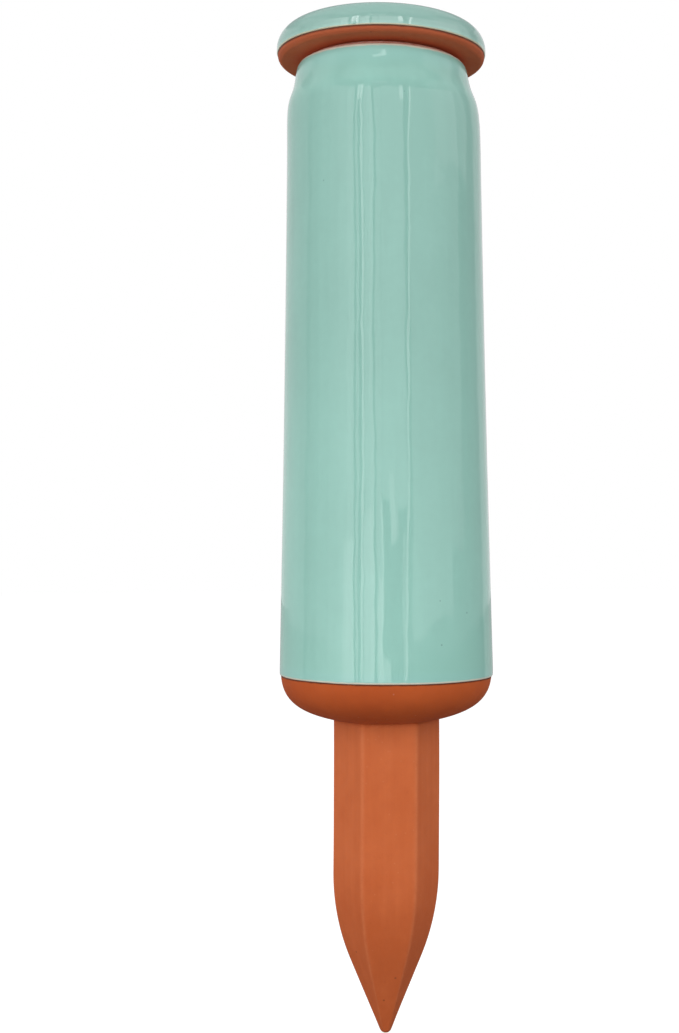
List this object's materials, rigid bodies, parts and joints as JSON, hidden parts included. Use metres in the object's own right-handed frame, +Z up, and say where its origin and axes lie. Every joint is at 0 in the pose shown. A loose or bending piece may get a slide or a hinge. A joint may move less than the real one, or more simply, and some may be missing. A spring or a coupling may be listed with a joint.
{
  "type": "self watering spike",
  "caption": "Self watering spike: a slim glazed clay reservoir on a hollow, bare clay stake that seeps water into the soil, closed by a lift-off lid.",
  "frame": {"origin": "on the axis, in the flat seat under the bowl where the stake is luted on, which is also the soil line when the stake is pushed fully in", "axes": "+Z up along the axis to the lid, -Z down the stake to its point; -Y is the front, which one flat of the hexagonal stake faces; +X to the right seen from the front"},
  "size_m": [0.0587, 0.0588, 0.2765],
  "materials": {
    "bare_clay": "matt, unglazed, slightly grainy fired earthenware",
    "turquoise_glaze": "gloss glaze, pale turquoise, breaking to cream at its edges"
  },
  "bodies": {
    "vessel": {"reservoir": "bare_clay", "reservoir_glaze": "turquoise_glaze", "stake": "bare_clay", "joining_slip": "bare_clay"},
    "cover": {"lid": "bare_clay", "lid_glaze": "turquoise_glaze"}
  },
  "joints": [
    {"name": "lid_lift", "type": "slide", "parent": "vessel", "child": "cover", "axis": [0, 0, 1], "range_m": [0, 0.04]}
  ]
}
